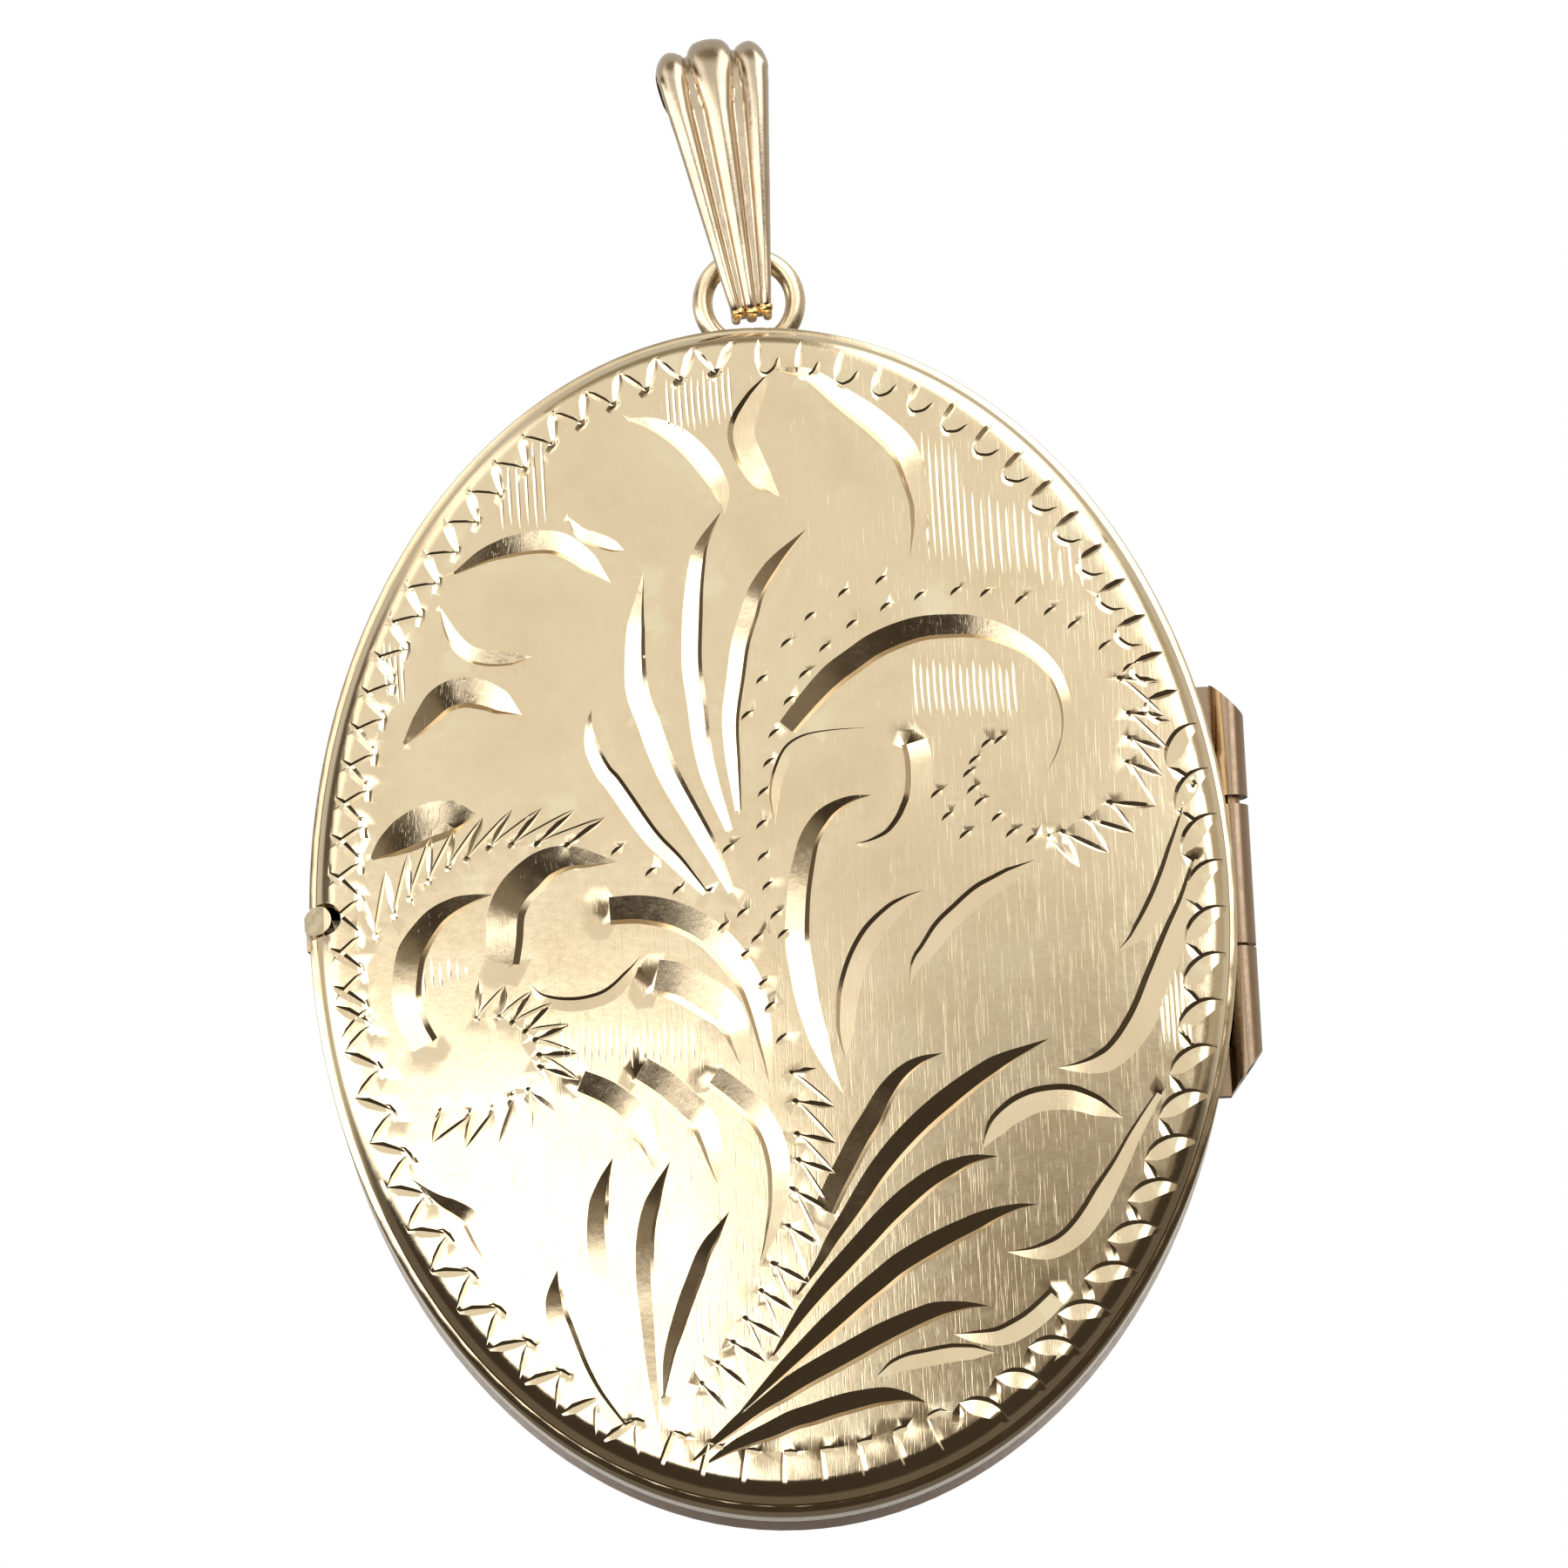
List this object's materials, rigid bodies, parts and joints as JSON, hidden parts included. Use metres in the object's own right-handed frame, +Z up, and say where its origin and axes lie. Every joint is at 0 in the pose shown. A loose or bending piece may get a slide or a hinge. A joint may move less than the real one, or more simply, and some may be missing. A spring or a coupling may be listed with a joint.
{
  "type": "oval hinged locket",
  "caption": "Hand-engraved oval gold locket that opens on a tube hinge opposite a catch, with photo frames inside, hung from a ring on a fluted folded bail.",
  "frame": {"origin": "the point in the bail's bend where a chain bears, with the locket hanging upright", "axes": "+X towards the hinge, +Y out of the plain back, so the engraved cover faces -Y, and +Z up"},
  "size_m": [0.0288, 0.0052, 0.0466],
  "materials": {
    "engraved_gold": "satin, bright-cut",
    "case_gold": "satin, finely scratched",
    "inner_gold": "polished",
    "frame_gold": "polished",
    "hinge_gold": "worn satin",
    "pin_gold": "dull",
    "catch_gold": "polished",
    "ring_gold": "polished",
    "bail_gold": "satin",
    "clear_plastic": "clear",
    "blank_card": "matt paper"
  },
  "bodies": {
    "bail": {"bail": "bail_gold"},
    "case_back": {"back_cover": "case_gold", "back_bezel": "inner_gold", "back_photo_card": "blank_card", "back_window": "clear_plastic", "back_photo_frame": "frame_gold", "hinge_knuckle_upper": "hinge_gold", "hinge_knuckle_lower": "hinge_gold", "hinge_pin": "pin_gold", "catch_tongue": "catch_gold", "catch_foot": "catch_gold", "thumb_lip": "case_gold", "bow_ring": "ring_gold"},
    "cover": {"front_cover": "engraved_gold", "front_bezel": "inner_gold", "front_photo_card": "blank_card", "front_window": "clear_plastic", "front_photo_frame": "frame_gold", "hinge_knuckle_middle": "hinge_gold"}
  },
  "joints": [
    {"name": "bail_swing", "type": "hinge", "parent": "bail", "child": "case_back", "pos_m": [0.00076, 0, -0.00676], "axis": [0.9938, 0, 0.1115], "range_deg": [-112, 118]},
    {"name": "cover_hinge", "type": "hinge", "parent": "case_back", "child": "cover", "pos_m": [0.01491, -0.00036, -0.02793], "axis": [0, 0, 1], "range_deg": [0, 178]}
  ]
}
